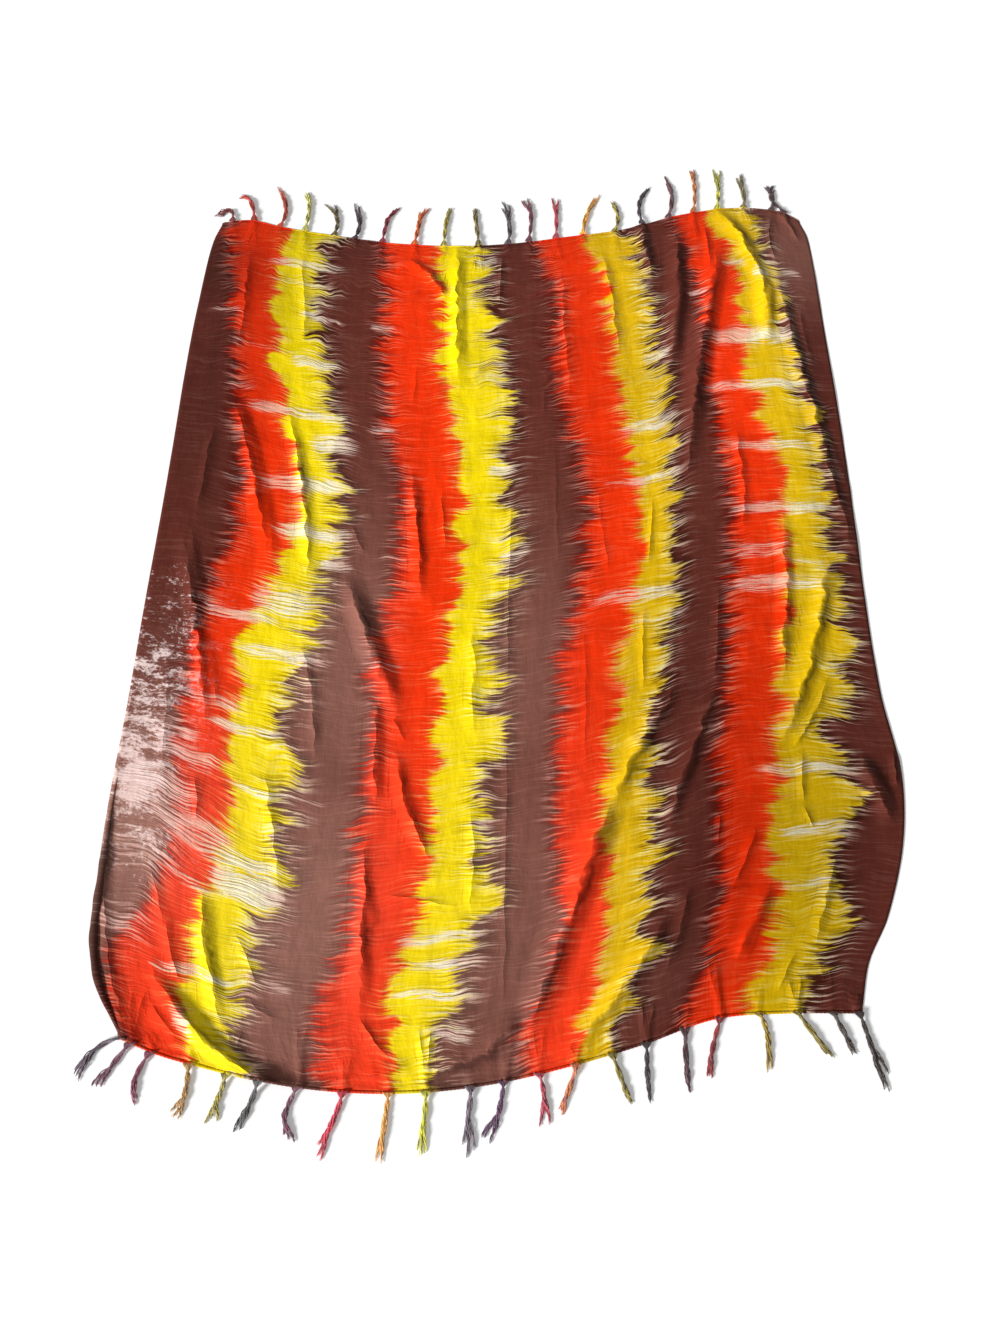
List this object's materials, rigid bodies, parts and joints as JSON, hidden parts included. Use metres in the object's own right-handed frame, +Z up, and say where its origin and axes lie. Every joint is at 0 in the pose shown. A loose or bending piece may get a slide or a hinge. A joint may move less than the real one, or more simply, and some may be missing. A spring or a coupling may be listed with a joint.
{
  "type": "tie-dye shawl",
  "caption": "Rectangular woven rayon shawl, tie-dyed in lengthwise stripes of maroon, red and yellow, laid out flat with a twisted fringe on both ends",
  "frame": {"origin": "on the floor, at the middle of the bottom of the bounding box of the whole shawl with its fringe", "axes": "+X across the width to the right, +Y along the length to the far end, +Z up from the floor"},
  "size_m": [1.1498, 1.7808, 0.0182],
  "materials": {
    "woven_rayon": "dyed plain weave rayon with a soft sheen",
    "fringe_yarn": "dyed twisted rayon yarn"
  },
  "bodies": {
    "root": {"woven_panel": "woven_rayon", "far_fringe": "fringe_yarn", "near_fringe": "fringe_yarn"}
  },
  "joints": []
}
